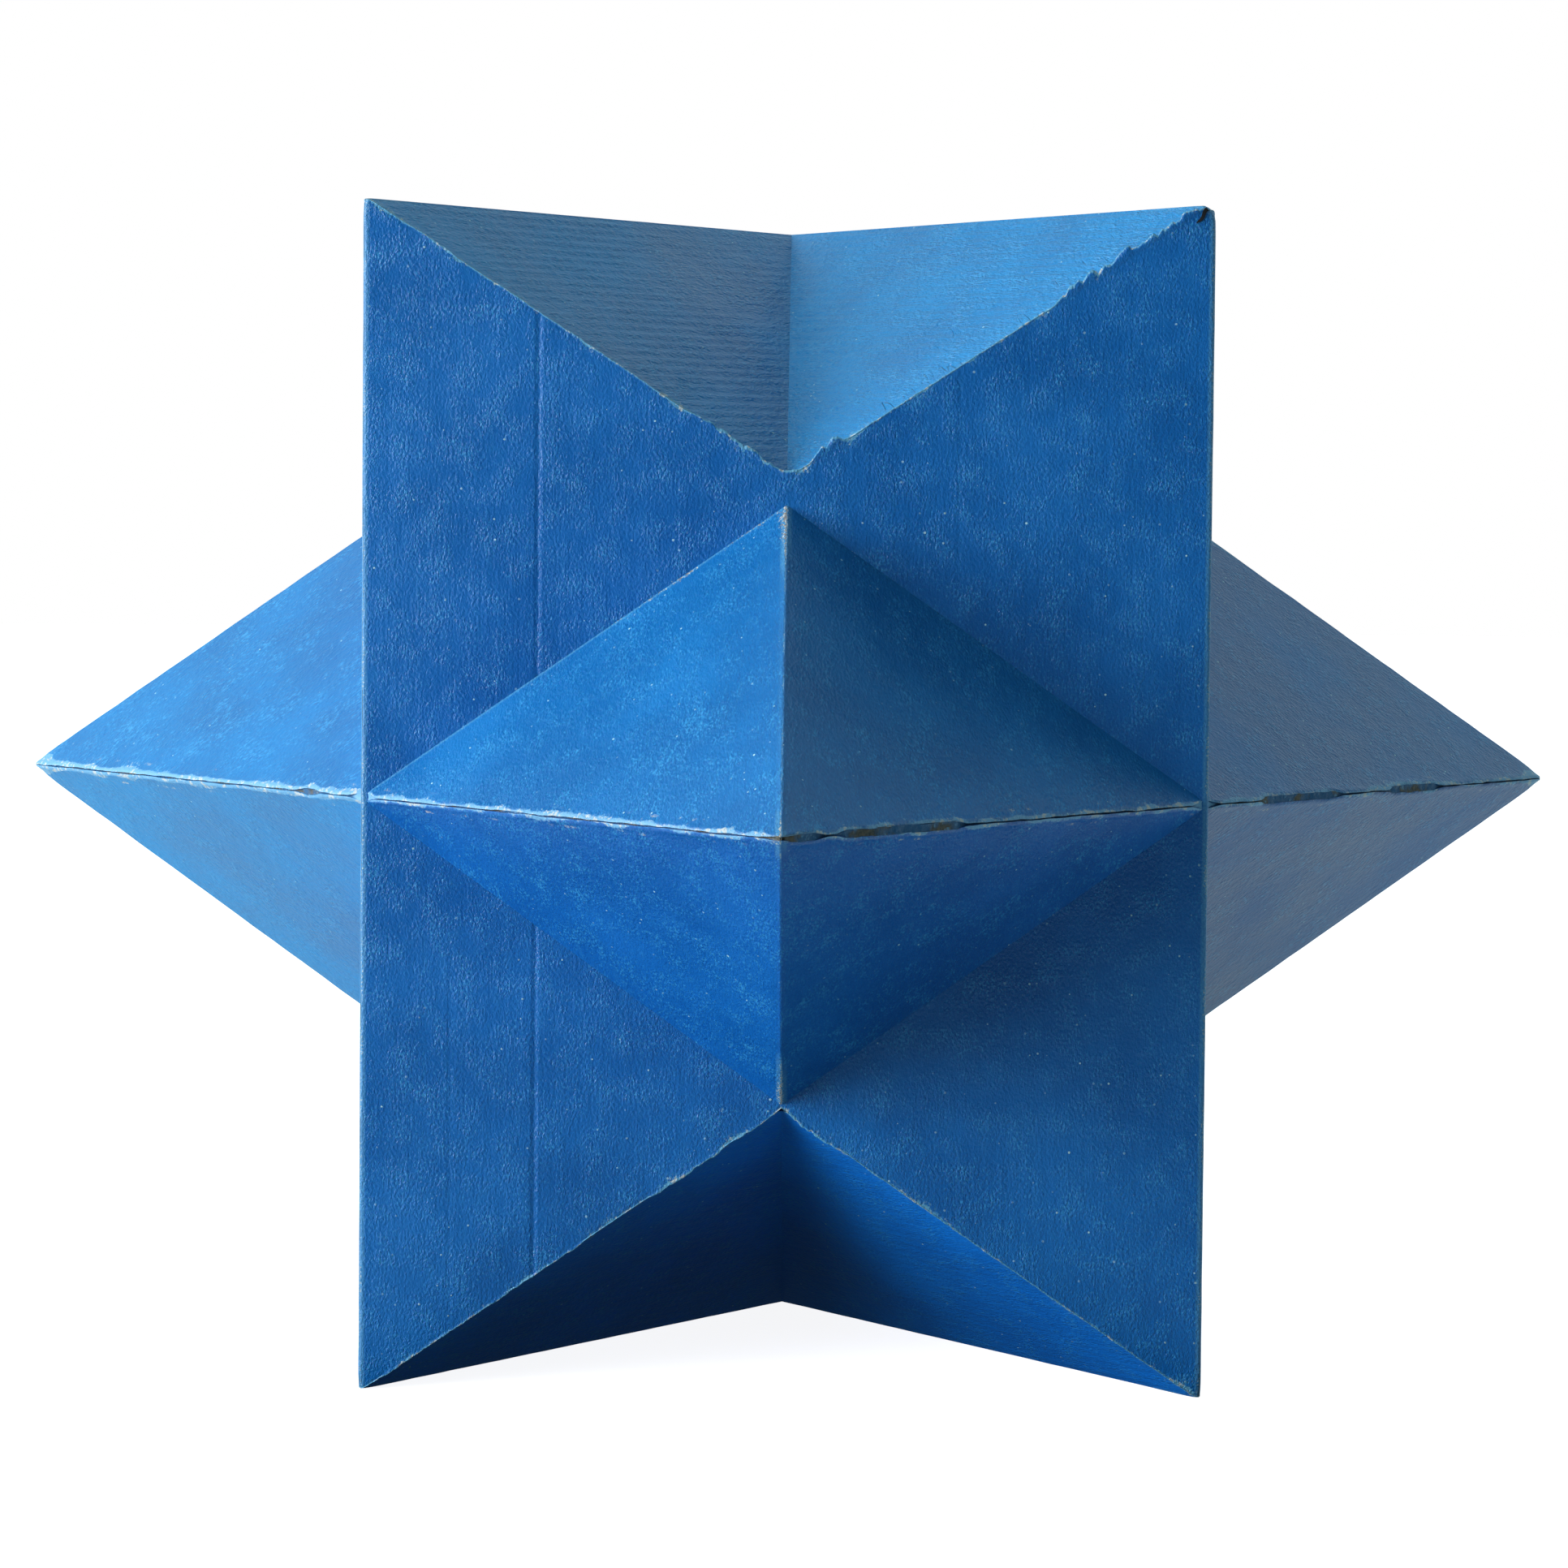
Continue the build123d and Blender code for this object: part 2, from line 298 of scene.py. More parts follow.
def folded_sheet(shell, fold, inner_fold, wings, seed, rib_depth):
    """Add a sheet folded along a straight line. Its flutes run along the fold.

    fold and inner_fold are the fold's two ends, outside and inside.
    """
    start, end = fold
    length = (end - start).length
    axis = (end - start) / length
    centre = Vector((0, 0, MIDDLE))
    normals = []
    for wing in wings:
        normal = axis.cross(wing.far - start).normalized()
        normals.append(normal if normal.dot(start - centre) > 0 else -normal)
    bisector = (normals[0] + normals[1]).normalized()
    half_turn = acos(normals[0].dot(bisector))
    flat = FOLD_RADIUS * tan(half_turn)
    spine = -bisector * (FOLD_RADIUS / cos(half_turn))
    for turn, (wing, normal) in enumerate(zip(wings, normals)):
        reach = wing.far - start
        along_far = reach.dot(axis)
        side = reach - axis * along_far
        depth = side.length
        side = side / depth
        across = (side - bisector * side.dot(bisector)).normalized()
        start_sine = depth / (wing.far - start).length
        end_sine = depth / (wing.far - end).length

        def surface(distance):
            """Offset from the sharp fold line, and the outward direction, across the fold."""
            if distance >= flat:
                return side * distance, normal
            angle = half_turn * distance / flat
            outward = bisector * cos(angle) + across * sin(angle)
            return spine + outward * FOLD_RADIUS, outward

        step = FLUTE / RIB_STEPS
        distances = [flat * k / FOLD_STEPS for k in range(FOLD_STEPS + 1)]
        distances += [step * k for k in range(ceil(flat / step + 0.3), floor(depth / step - 0.2))]
        distances.append(depth)
        rows, starts, ends = [], [], []
        for distance in distances:
            share = distance / depth
            first = along_far * share
            last = length - (length - along_far) * share
            offset, outward = surface(distance)
            if wing.start_mark == "seam":
                place = start + axis * first + offset
                rag = lumps(place, 6 * MM, seed) + 0.5 * lumps(place, 2.2 * MM, seed)
                cover = wing.overhang * (1 - 0.9 * wing.openness(share))
                past = (cover + SEAM_RAG * rag) / start_sine
                first -= min(past * clamp(40 * (1 - share)), wing.overhang / start_sine + 0.3 * MM)
            if wing.end_mark == "lip":
                last += COVER * sqrt(2)
            row = []
            for way in stations(last - first, SHEET_COLUMNS):
                place = start + axis * (first + way) + offset
                to_start = way * start_sine
                to_end = (last - first - way) * end_sine
                inside = clamp(min(to_start, to_end, distance) / WAVE_FADE)
                away = clamp(min(to_start, to_end) / RIB_FADE)
                lift = -ribs(distance, place, seed, rib_depth) * away
                lift += WAVE_HEIGHT * inside * lumps(place, WAVE_LENGTH, seed)
                if wing.start_mark:
                    crest = exp(-(((to_start / MM - 0.7) / 0.6) ** 2))
                    curl = crest * (0.6 + lumps(place, 5 * MM, seed))
                    lift += SEAM_CURL * curl - EDGE_DROP * clamp(1 - to_start / EDGE_ROUND) ** 2
                crush = clamp(1 - distance / (CRUSH_WIDTH * MM)) * away
                lift -= CRUSH_DEPTH * crush * (0.6 + lumps(place, 7 * MM, seed + 5))
                near_end = clamp(1.3 - (length - first - way) / END_WEAR)
                near_start = 0.7 * clamp(1.2 - (first + way) / START_WEAR)
                bare = wing.wear * max(LEAST_WEAR, near_end, near_start)
                marks = {"fold": distance / MM, "wear": bare}
                if wing.base_wear and to_end < BASE_BAND:
                    marks["fold"] = min(distance, to_end + BASE_SHIFT) / MM
                    marks["wear"] = max(bare, wing.base_wear)
                if wing.start_mark:
                    near_tip = clamp(1 - (place - start).length / TIP_WEAR_REACH)
                    shift = wing.rubbed + 0.35 * wing.openness(share) - wing.tip_rub * near_tip
                    marks[wing.start_mark] = to_start / MM + shift
                if wing.end_mark:
                    marks[wing.end_mark] = to_end / MM
                sheet = (first + way, distance if turn else -distance, seed * MM)
                row.append(shell.point(place + outward * lift, sheet, **marks))
            rows.append(row)
            starts.append(shell.point(inner_fold[0].lerp(wing.inner_far, share)))
            ends.append(shell.point(inner_fold[1].lerp(wing.inner_far, share)))
        shell.patch(rows)
        shell.patch([[row[0] for row in rows], starts])
        shell.patch([[row[-1] for row in rows], ends])
        shell.faces.append(tuple(starts + list(reversed(ends[:-1]))))


def ridge_shell(notch, seed, rib_depth):
    """The upper ridge at the front right: from the hub to a corner tip, folded down both sides."""
    shell = Shell()
    hub = Vector((0, 0, MIDDLE + HALF))
    corner = Vector((INNER, -INNER, MIDDLE + HALF))
    fall = (HALF - notch) / WIDTH * INNER
    inward_cut = (Vector((0, 0, 0)), Vector((1, 1, 0)))
    front = Vector((0, -INNER, MIDDLE + HALF - fall))
    right = Vector((INNER, 0, MIDDLE + HALF - fall))
    wings = []
    for far, valley, wall in (
        (front, Vector((1, 0, 0)), Vector((0, 1, 0))),
        (right, Vector((0, 1, 0)), Vector((1, 0, 0))),
    ):
        normal = (corner - hub).cross(far - hub).normalized()
        normal = normal if normal.z > 0 else -normal
        inner_plane = (hub - normal * BOARD, normal)
        valley_cut, wall_cut = (hub, valley), (corner, wall)
        folds = [meet(inner_plane, valley_cut, inward_cut), meet(inner_plane, wall_cut, inward_cut)]
        wings.append(Wing(far, meet(inner_plane, valley_cut, wall_cut), None, "lip"))
    folded_sheet(shell, (hub, corner), folds, wings, seed, rib_depth)
    rise = (HALF - notch) / WIDTH
    drop = TAB_WIDTH * sqrt(1 + rise * rise)
    tab_end, corner_end = INNER - TAB_WIDTH, INNER - 2 * BOARD

    def edge(x, below):
        return Vector((x, -INNER, MIDDLE + notch + rise * (x + BOARD) - below))

    tab = [edge(TAB_GAP, BOARD), edge(TAB_GAP, drop), edge(tab_end, drop), edge(corner_end, BOARD)]
    shell.prism(tab, Vector((0, BOARD, 0)))
    shell.prism([Vector((-p.y, -p.x, p.z)) for p in tab], Vector((-BOARD, 0, 0)))
    return shell


# Where the groove between a point's halves lies open. The key is point and side, and each run goes
# from one share of the way between the point's tip and the belt to another.
OPEN_RUNS = {
    ("front", 1): ((-0.1, 0.102), (0.112, 0.42)),
    ("front", -1): ((-0.1, 0.035),),
    ("right", 1): ((0.2, 0.45), (0.7, 0.8)),
    ("right", -1): ((0.32, 0.50), (0.62, 0.87)),
    ("back", 1): ((0.12, 0.3), (0.5, 0.8)),
    ("back", -1): ((0.4, 0.75),),
    ("left", 1): ((0.82, 0.9),),
    ("left", -1): ((0.3, 0.5), (0.65, 0.9)),
}


def point_shell(quarter, level, apex, seed):
    """The upper half of the front point, folded along its ridge, with the wear of the named one."""
    shell = Shell()
    lean = apex / (HALF / 2)  # slope of a facet across its level edge
    cut_back = BOARD / lean / sqrt((HALF / 2) ** 2 + apex**2)
    summit = Vector((0, -WIDTH, MIDDLE + apex))
    tip = Vector((0, -REACH, MIDDLE)).lerp(summit, cut_back)
    middle_cut = (tip, Vector((1, 0, 0)))
    wall_cut = (summit, Vector((0, 1, 0)))
    wings = []
    upper, front = level == "upper", quarter == "front"
    for hand, bare in ((1, 0.35), (-1, 1.0 if upper else 0.6)):
        side = Vector((hand * WIDTH, -WIDTH, MIDDLE)).lerp(summit, cut_back)
        normal = (side - tip).cross(summit - tip).normalized()
        normal = normal if normal.z > 0 else -normal
        inner_plane = (tip - normal * BOARD, normal)
        seam_cut = (tip, (side - tip).cross(normal))
        folds = [meet(inner_plane, seam_cut, middle_cut), meet(inner_plane, wall_cut, middle_cut)]
        inner_side = meet(inner_plane, seam_cut, wall_cut)
        wing = Wing(side, inner_side, "seam", None)
        wing.overhang = (1.2 if upper else 1.03) * MM
        wing.open_runs = OPEN_RUNS[quarter, hand]
        wing.rubbed = -0.7 if quarter == "left" else 0.0 if upper else 0.35
        wing.tip_rub = 0.0 if front else 2.6
        wing.wear = bare if front else 0.55 * bare
        wing.base_wear = 0.32 if upper and hand == -1 else 0.0
        wings.append(wing)
    folded_sheet(shell, (tip, summit), folds, wings, seed, POINT_RIBS)
    fall = apex / WIDTH
    drop = TAB_WIDTH * sqrt(1 + fall * fall)
    inset, level_gap = 1.5 * MM, 2 * MM  # of a tab: from the facet's surface, and from the seam
    for hand in (1, -1):

        def base(x, below):
            return Vector((hand * x, -WIDTH, MIDDLE + apex - fall * x - below))

        ends = [(apex - below - level_gap) / fall for below in (drop, inset)]
        tab = [base(TAB_GAP, inset), base(TAB_GAP, drop), base(ends[0], drop), base(ends[1], inset)]
        shell.prism(tab, Vector((0, -BOARD, 0)))
    return shell


# The belt: one strip folded round four panels

def lobes(way, seed):
    """A scalloped tear: rounded lobes of uneven length and height, from 0 to 1."""
    stretched = way / LOBE + 0.7 * noise.noise(Vector((way / (2.3 * LOBE), seed, 0.5)))
    cell = floor(stretched)
    share = stretched - cell
    height = 0.3 + 0.7 * abs(noise.cell(Vector((cell + 0.5, seed, 0.5))))
    return height * sqrt(clamp(1 - (2 * share - 1) ** 2))


# Torn stretches of the belt's notch edges. The key is panel, level and side, and each stretch goes
# from one share of the way between notch and corner tip to another, with the paper's overhang in mm.
TORN = {
    ("front", "top", 1): ((-0.06, 0.05, 0.9), (0.05, 0.15, 3.0), (0.17, 0.62, 0.5), (0.62, 0.98, 3.4)),
    ("front", "top", -1): ((-0.06, 0.24, 1.8), (0.30, 0.70, 0.5), (0.78, 0.90, 0.9)),
    ("front", "bottom", 1): ((0.01, 0.15, 1.5), (0.16, 0.9, 0.4)),
    ("front", "bottom", -1): ((0.0, 0.12, 1.0), (0.12, 0.32, 1.2), (0.45, 0.97, 0.7)),
    ("right", "top", 1): ((-0.05, 0.22, 1.8), (0.55, 0.75, 1.2)),
    ("right", "top", -1): ((-0.05, 0.15, 1.2), (0.70, 0.95, 2.4)),
    ("right", "bottom", 1): ((0.05, 0.35, 1.3), (0.6, 0.95, 0.8)),
    ("right", "bottom", -1): ((-0.05, 0.2, 1.6), (0.5, 0.8, 0.7)),
    ("back", "top", 1): ((-0.05, 0.3, 1.5), (0.5, 0.9, 2.2)),
    ("back", "top", -1): ((-0.05, 0.12, 1.9), (0.3, 0.6, 0.9)),
    ("back", "bottom", 1): ((-0.05, 0.25, 1.5), (0.4, 0.9, 0.7)),
    ("back", "bottom", -1): ((0.1, 0.5, 1.0), (0.7, 0.95, 1.4)),
    ("left", "top", 1): ((-0.05, 0.2, 1.5), (0.6, 0.8, 0.9)),
    ("left", "top", -1): ((0.0, 0.4, 1.2), (0.65, 0.95, 2.2)),
    ("left", "bottom", 1): ((-0.05, 0.3, 1.2), (0.55, 0.95, 0.9)),
    ("left", "bottom", -1): ((-0.05, 0.15, 1.8), (0.3, 0.7, 0.7)),
}

TEAR_FADE = 0.035  # a torn stretch's ends fade over this share of the edge
NOTCH_FILL = 1.0 * MM  # paper left standing in the very bottom of an upper notch
NOTCH_FILL_SHARE = 0.022

# Vertical dents in the panels, from folding and storing the strip: panel, distance from the panel's
# middle as a share of its half width, depth in mm, and the lowest and highest share of the height.
DENTS = (
    ("front", -0.585, 0.32, -1.0, 1.0),
    ("front", -0.785, 0.07, -0.9, -0.25),
    ("front", 0.405, 0.08, 0.1, 0.75),
    ("right", 0.34, 0.18, -1.0, 1.0),
    ("right", -0.62, 0.07, -0.2, 0.9),
    ("back", -0.12, 0.10, -1.0, 1.0),
    ("back", 0.66, 0.20, -1.0, 1.0),
    ("left", 0.51, 0.16, -1.0, 1.0),
    ("left", -0.3, 0.07, -0.8, 0.3),
)
DENT_FADE = 0.06  # a dent's ends fade over this share of the half height


def overhang(panel, level, across):
    """How far torn paper stands past a notch's edge, at a distance across the panel."""
    side = 1 if across > 0 else -1
    share = abs(across) / WIDTH
    seed = 3.1 * QUARTERS.index(panel) + (1.3 if level == "top" else 2.6) + 0.4 * side
    rag = TEAR_RAG * (1 + noise.noise(Vector((across / (1.1 * MM), seed, 0))))
    for low, high, size in TORN[panel, level, side]:
        fade = clamp(min(share - low, high - share) / TEAR_FADE)
        if fade > 0:
            torn = 0.3 + 0.7 * lobes(across, seed)
            torn += 0.28 * noise.noise(Vector((across / (0.9 * MM), seed, 2.0)))
            rag += size * MM * fade * torn
    return rag + (NOTCH_FILL * clamp(1 - share / NOTCH_FILL_SHARE) if level == "top" else 0.0)


def dent(panel, across, height):
    """How far the surface sinks at the vertical dents."""
    depth = 0.0
    for name, place, size, low, high in DENTS:
        if name == panel:
            offset = (across - place * WIDTH) / MM
            share = height / HALF
            fade = clamp(min(share - low, high - share) / DENT_FADE)
            groove = exp(-((offset / 0.42) ** 2)) - 0.08 * exp(-(((offset - 0.9) / 0.42) ** 2))
            depth += size * fade * groove
    return depth * MM


def belt_shell():
    """The strip's four panels with their torn lips, rounded folds and inner faces, and its flap."""
    shell = Shell()
    step = FLUTE / BELT_RIB_STEPS
    flat_half = WIDTH - FOLD_RADIUS
    flat_count = round(2 * flat_half / step)
    arc = [45 * k / FOLD_STEPS for k in range(1, FOLD_STEPS + 1)]
    outline = [(-flat_half - FOLD_RADIUS * radians(a), -a) for a in reversed(arc)]
    outline += [(-flat_half + 2 * flat_half * k / flat_count, 0) for k in range(flat_count + 1)]
    outline += [(flat_half + FOLD_RADIUS * radians(a), a) for a in arc]
    slopes = {"top": (HALF - UPPER_NOTCH) / WIDTH, "bottom": (HALF - LOWER_NOTCH) / WIDTH}
    notches = {"top": UPPER_NOTCH, "bottom": LOWER_NOTCH}
    brim = cad_high.z - MIDDLE

    def edge_height(level, across):
        return min(notches[level] + slopes[level] * abs(across), brim)

    for turn, panel in enumerate(QUARTERS):
        spin = Matrix.Rotation(radians(90 * turn), 3, "Z")
        columns, inner_tops, inner_bottoms = [], [], []
        for across, angle in outline:
            outward = Vector((sin(radians(angle)), -cos(radians(angle)), 0))
            centre = Vector((clamp(across, -flat_half, flat_half), -flat_half, 0))
            base = centre + outward * FOLD_RADIUS
            top, bottom = edge_height("top", across), -edge_height("bottom", across)
            to_fold = (WIDTH - abs(across)) / MM
            girth = 2 * WIDTH * turn + across
            column = []

            def place(height, lift):
                return spin @ (base + outward * lift) + Vector((0, 0, MIDDLE + height))

            def sheet_point(height, lift, lip):
                spot, sheet = place(height, lift), (height, girth, 0.0)
                return shell.point(spot, sheet, fold=to_fold, lip=lip, wear=BELT_WEAR)

            hangs = {}
            for level, height in (("top", top), ("bottom", bottom)):
                room = brim - abs(height)
                hangs[level] = max(LEAST_TEAR, min(overhang(panel, level, across), 0.6 * room))
            for way in stations(top - bottom, BELT_ROWS, (0.0, 0.4, 1.0, 2.0, 3.8, 7.0)):
                height = bottom + way
                spot = place(height, 0)
                to_top = (top - height) / sqrt(1 + slopes["top"] ** 2)
                to_bottom = (height - bottom) / sqrt(1 + slopes["bottom"] ** 2)
                edge, hang = min((to_top, hangs["top"]), (to_bottom, hangs["bottom"]))
                inside = clamp(min(edge, to_fold * MM) / WAVE_FADE)
                away = clamp(edge / RIB_FADE)
                lift = -ribs(across, spot, 3, BELT_RIBS) * away
                lift += WAVE_HEIGHT * inside * lumps(spot, WAVE_LENGTH, 3)
                drop = EDGE_DROP * 0.6 * clamp(1 - hang / (0.7 * MM))
                lift -= drop * clamp(1 - edge / EDGE_ROUND) ** 2
                lift -= dent(panel, across, height)
                crush = clamp(1 - to_fold / CRUSH_WIDTH) * away
                lift -= BELT_CRUSH_DEPTH * crush * (0.6 + lumps(spot, 8 * MM, 9))
                lip = min(to_top + hangs["top"], to_bottom + hangs["bottom"]) / MM
                column.append(sheet_point(height, lift, lip))
            # Torn paper past each edge: share of its overhang, height off the panel, and lip mark
            lips = {}
            for level, edge_at, up in (("top", top, 1), ("bottom", bottom, -1)):
                hang = hangs[level]
                puff = 0.04 * MM + 0.12 * hang
                lips[level] = [
                    sheet_point(edge_at + up * share * hang, lift, mark)
                    for share, lift, mark in (
                        (0.45, puff * 0.8, 0.55 * hang / MM),
                        (0.85, puff * 0.6, 0.15 * hang / MM),
                        (1.0, -0.05 * MM, 0.0),
                        (0.85, -0.28 * MM, -0.8),
                        (0.0, -0.45 * MM, -2.5),
                    )
                ]
            columns.append(list(reversed(lips["bottom"])) + column + lips["top"])
            inner_across = clamp(across, -INNER, INNER)
            for level, ends, up in (("top", inner_tops, 1), ("bottom", inner_bottoms, -1)):
                height = up * edge_height(level, inner_across)
                spot = spin @ Vector((inner_across, -INNER, 0)) + Vector((0, 0, MIDDLE + height))
                ends.append(shell.point(spot, lip=INSIDE))
        shell.patch(columns)
        shell.patch([[column[-1] for column in columns], inner_tops])
        shell.patch([[column[0] for column in columns], inner_bottoms])
        shell.faces.append(tuple(inner_tops + list(reversed(inner_bottoms))))
    flap = [Vector((-INNER, INNER, MIDDLE + side * UPPER_NOTCH)) for side in (-1, 1)]
    flap += [corner - Vector((0, FLAP_WIDTH, 0)) for corner in reversed(flap)]
    shell.prism(flap, Vector((BOARD, 0, 0)))
    return shell


SLIT_START = Vector((-1.5 * MM, 0, -0.7 * MM))  # from the knocked tip
SLIT_WAY = Vector((-3.4 * MM, 0, -4.6 * MM))  # from the slit's start to its end
SLIT_HALF = 0.62 * MM  # half its width where it is widest
SLIT_WAVER = 0.25  # in mm, to each side of a straight line
SLIT_RINGS = 10


def slit_shell():
    """The slit at the knocked tip, where the paper has split from the edge of the belt.

    It is a near-black prism in the surface: painted shade for the hollow behind the split.
    """
    shell = Shell()
    across = Vector((SLIT_WAY.z, 0, -SLIT_WAY.x)).normalized()
    rings = []
    for k in range(SLIT_RINGS + 1):
        share = k / SLIT_RINGS
        middle = KNOCKED_TIP + SLIT_START + SLIT_WAY * share
        middle = middle + across * SLIT_WAVER * MM * sin(7 * share)
        half = SLIT_HALF * sqrt(clamp(1 - share) * (0.35 + share) / 0.46) + 0.02 * MM
        corners = ((-half, 0.4), (-half * 0.7, -0.2), (half * 0.7, -0.2), (half, 0.4))
        rings.append([shell.point(middle + across * x + Vector((0, y * MM, 0))) for x, y in corners])
    shell.patch([ring + ring[:1] for ring in rings])
    shell.faces.append(tuple(rings[0]))
    shell.faces.append(tuple(rings[-1]))
    return shell


# Glue in the seams of the points

BEAD_STEP = 1.1 * MM  # spacing of the bead's cross-sections
BEAD_PROFILE = (-1.0, -0.72, -0.4, 0.0, 0.4, 0.72, 1.0)  # across one, from wall to wall
USUAL_FILL = 0.47  # share of the groove's depth that the glue fills
LEAST_FILL, MOST_FILL = 0.25, 0.62
WALL_GAP = 0.94  # keeps the bead's sides off the groove's walls
BEAD_GRAIN = 0.10 * MM  # roughness of the glue
BEAD_DISH = 0.16 * MM  # how far its middle is sunk


def seam_shell(seed):
    """Glue in the groove between the halves of the front point, along both edges."""
    shell = Shell()
    length = WIDTH * sqrt(2)
    count = round(length / BEAD_STEP)
    root = BOARD * sqrt(2)
    rows = []
    backs = []
    for k in range(-count, count + 1):
        hand = -1 if k < 0 else 1
        share = abs(k) / count
        edge = Vector((hand * WIDTH * share, -REACH + WIDTH * share, MIDDLE))
        outward = Vector((hand * 1.0, -1.0, 0)).normalized() if k else Vector((0, -sqrt(2), 0))
        fill = USUAL_FILL + 0.22 * lumps(edge, 13 * MM, seed) + 0.12 * lumps(edge, 3.5 * MM, seed + 1)
        depth = root * (1 - clamp(fill, LEAST_FILL, MOST_FILL))
        half = min(root - depth, WALL_GAP * depth)
        row = []
        for part in BEAD_PROFILE:
            grain = BEAD_GRAIN * lumps(edge + Vector((0, 0, part * 2 * MM)), 1.6 * MM, seed + 2)
            dish = BEAD_DISH * (1 - part * part)
            place = edge - outward * (depth + dish - grain * (1 - abs(part)))
            place = place + Vector((0, 0, part * half))
            row.append(shell.point(place, seam=(1 - share) * length / MM))
        rows.append(row)
        backs.append(shell.point(edge - outward * (root + 0.2 * MM)))
    shell.patch(rows)
    for end in (0, -1):
        shell.patch([[row[end] for row in rows], backs])
        shell.faces.append(tuple(rows[end]) + (backs[end],))
    return shell


# Materials

class Nodes:
    """A short way to write a node tree."""

    def __init__(self, tree):
        self.tree = tree

    def add(self, kind, inputs=None, **settings):
        node = self.tree.nodes.new(kind)
        for name, value in settings.items():
            setattr(node, name, value)
        for name, value in (inputs or {}).items():
            if isinstance(value, bpy.types.NodeSocket):
                self.tree.links.new(value, node.inputs[name])
            else:
                node.inputs[name].default_value = value
        return node

    def maths(self, operation, *values):
        node = self.add("ShaderNodeMath", operation=operation)
        for socket, value in zip(node.inputs, values):
            if isinstance(value, bpy.types.NodeSocket):
                self.tree.links.new(value, socket)
            else:
                socket.default_value = value
        return node.outputs[0]

    def times(self, *values):
        product = values[0]
        for value in values[1:]:
            product = self.maths("MULTIPLY", product, value)
        return product

    def most(self, *values):
        greatest = values[0]
        for value in values[1:]:
            greatest = self.maths("MAXIMUM", greatest, value)
        return greatest

    def noise(self, vector, size, detail=2.0, roughness=0.5, stretch=None):
        """Noise between 0 and 1 whose lumps have the given size."""
        if stretch:
            vector = self.add("ShaderNodeMapping", {"Vector": vector, "Scale": stretch}).outputs[0]
        values = {"Vector": vector, "Scale": 1 / size, "Detail": detail, "Roughness": roughness}
        return self.add("ShaderNodeTexNoise", values).outputs["Fac"]

    def ramp(self, value, low, high, start=0.0, end=1.0):
        """A smooth step from start to end while the value goes from low to high."""
        values = {"Value": value, "From Min": low, "From Max": high, "To Min": start, "To Max": end}
        node = self.add("ShaderNodeMapRange", values, interpolation_type="SMOOTHSTEP")
        return node.outputs["Result"]

    def mix(self, share, first, second):
        """The first colour where share is 0, and the second where it is 1."""
        node = self.add("ShaderNodeMix", data_type="RGBA")
        share_in, first_in, second_in = node.inputs[0], node.inputs[6], node.inputs[7]
        for socket, value in ((share_in, share), (first_in, first), (second_in, second)):
            if isinstance(value, bpy.types.NodeSocket):
                self.tree.links.new(value, socket)
            elif isinstance(value, tuple):
                socket.default_value = (*value, 1.0)
            else:
                socket.default_value = value
        return node.outputs[2]

    def show(self, shader, output):
        """End the tree: link the shader to an output node of the given kind."""
        self.tree.links.new(shader.outputs[0], self.add(output).inputs[0])

    def mark(self, name):
        """One of the shells' distance marks."""
        return self.add("ShaderNodeAttribute", attribute_name=name).outputs["Fac"]


PAINT = (0.0015, 0.165, 0.54)
DEEP_PAINT = (0.0010, 0.120, 0.42)
PALE_PAINT = (0.045, 0.36, 0.74)  # rubbed thin
LIP_PAINT_AND_FOLD_HIGHLIGHT = (0.12, 0.41, 0.64)  # on the torn paper of the notch edges, and as a painted highlight on rounded folds
SEAM_PAINT = (0.16, 0.42, 0.70)  # on the paper along the points' seams
BARE_PAPER = (0.62, 0.64, 0.60)
BROWN_CARD = (0.22, 0.19, 0.16)
DUST = (0.40, 0.70, 0.85)
DUST_SPACING = 2.5 * MM
SCORE_DISTANCE = 2.9  # in mm, from a seam to the broken line of bare flecks beside it


def tinted(colour, green, value=1.0):
    return (colour[0] * value, colour[1] * green * value, colour[2] * value)


def new_material(name):
    """An empty node material, and what writes its nodes."""
    material = bpy.data.materials.new(name)
    material.use_nodes = True
    material.node_tree.nodes.clear()
    return material, Nodes(material.node_tree)


